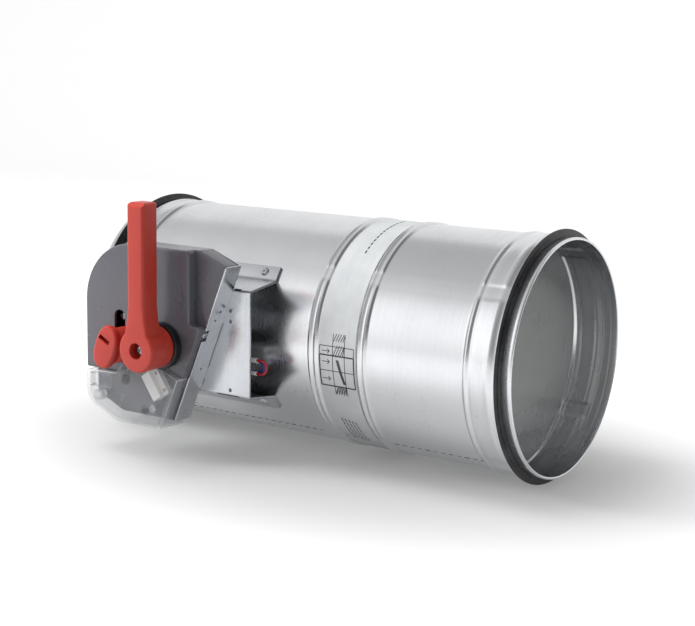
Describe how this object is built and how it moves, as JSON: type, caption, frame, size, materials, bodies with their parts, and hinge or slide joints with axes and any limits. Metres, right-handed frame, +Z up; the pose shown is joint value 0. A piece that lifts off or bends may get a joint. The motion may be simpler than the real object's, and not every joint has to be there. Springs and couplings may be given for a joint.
{
  "type": "fire damper",
  "caption": "Round duct fire damper: galvanised casing with rubber end gaskets, a pivoting fire blade, and a side mechanism with a red reset handle and release button.",
  "frame": {"origin": "centre of the inlet end plane on the duct axis", "axes": "+X along the duct from inlet to outlet, -Y towards the mechanism, +Z up along the handle with the blade shut"},
  "size_m": [0.346, 0.2326, 0.1803],
  "materials": {
    "galvanised_sheet": "satin",
    "zinc_steel": "satin",
    "gasket_rubber": "matte",
    "band_film": "satin",
    "fire_board": "matte",
    "graphite_strip": "matte",
    "bronze": "satin",
    "housing_plastic": "matte",
    "black_plastic": "satin",
    "white_plastic": "satin",
    "red_plastic": "satin",
    "clear_plastic": "gloss",
    "red_wire": "satin",
    "blue_wire": "satin"
  },
  "bodies": {
    "casing": {"duct_casing": "galvanised_sheet", "hat_bracket": "galvanised_sheet", "mechanism_tray": "galvanised_sheet", "bracket_rivets": "zinc_steel", "inlet_gasket": "gasket_rubber", "outlet_gasket": "gasket_rubber", "wall_band": "band_film", "upper_blade_stop": "zinc_steel", "lower_blade_stop": "zinc_steel", "front_pivot_pin": "zinc_steel", "rear_pivot_pin": "zinc_steel", "shaft_bush": "bronze", "mechanism_housing": "housing_plastic", "terminal_cover": "clear_plastic", "cover_screws": "zinc_steel", "terminal_block": "white_plastic", "shaft_collar": "black_plastic", "spring_drum": "zinc_steel", "latch_pin": "zinc_steel", "latch_screw": "zinc_steel", "open_switch": "black_plastic", "shut_switch": "black_plastic", "fuse_holder": "bronze", "fuse_link": "bronze", "lead_connector": "white_plastic", "red_lead": "red_wire", "blue_lead": "blue_wire", "lead_sleeves": "white_plastic"},
    "drive": {"lever_handle": "red_plastic", "handle_screw": "zinc_steel", "drive_shaft": "zinc_steel", "cam_disc": "black_plastic", "crank_arm": "zinc_steel", "crank_pin": "zinc_steel"},
    "blade": {"blade_core": "fire_board", "blade_seal": "gasket_rubber", "swelling_strips": "graphite_strip", "front_pivot_bush": "bronze", "rear_pivot_bush": "bronze", "blade_lever": "zinc_steel", "lever_bolts": "zinc_steel", "lever_pin": "zinc_steel"},
    "link": {"link_rod": "zinc_steel"},
    "button": {"release_button": "red_plastic"},
    "pawl": {"latch_pawl": "zinc_steel"}
  },
  "joints": [
    {"name": "handle_turn", "type": "hinge", "parent": "casing", "child": "drive", "pos_m": [0.1023, -0.0985, -0.0031], "axis": [0, 1, 0], "range_deg": [0, 90], "stiffness_Nm_per_rad": 0.3},
    {"name": "blade_turn", "type": "hinge", "parent": "casing", "child": "blade", "pos_m": [0.2171, 0, 0], "axis": [0, 1, 0], "range_deg": [0, 90]},
    {"name": "link_pivot", "type": "hinge", "parent": "drive", "child": "link", "pos_m": [0.0783, -0.0521, 0.0209], "axis": [0, 1, 0], "range_deg": [-90, 0]},
    {"name": "button_press", "type": "slide", "parent": "casing", "child": "button", "axis": [0, 1, 0], "range_m": [0, 0.005], "stiffness_N_per_m": 900},
    {"name": "pawl_turn", "type": "hinge", "parent": "casing", "child": "pawl", "pos_m": [0.0743, -0.106, 0.0239], "axis": [0, 1, 0], "range_deg": [0, 10.5]}
  ],
  "couplings": [
    {"joint": "blade_turn", "follows": "handle_turn", "ratio": 1},
    {"joint": "link_pivot", "follows": "handle_turn", "ratio": -1},
    {"joint": "pawl_turn", "follows": "button_press", "rad_per_m": 34.9}
  ]
}
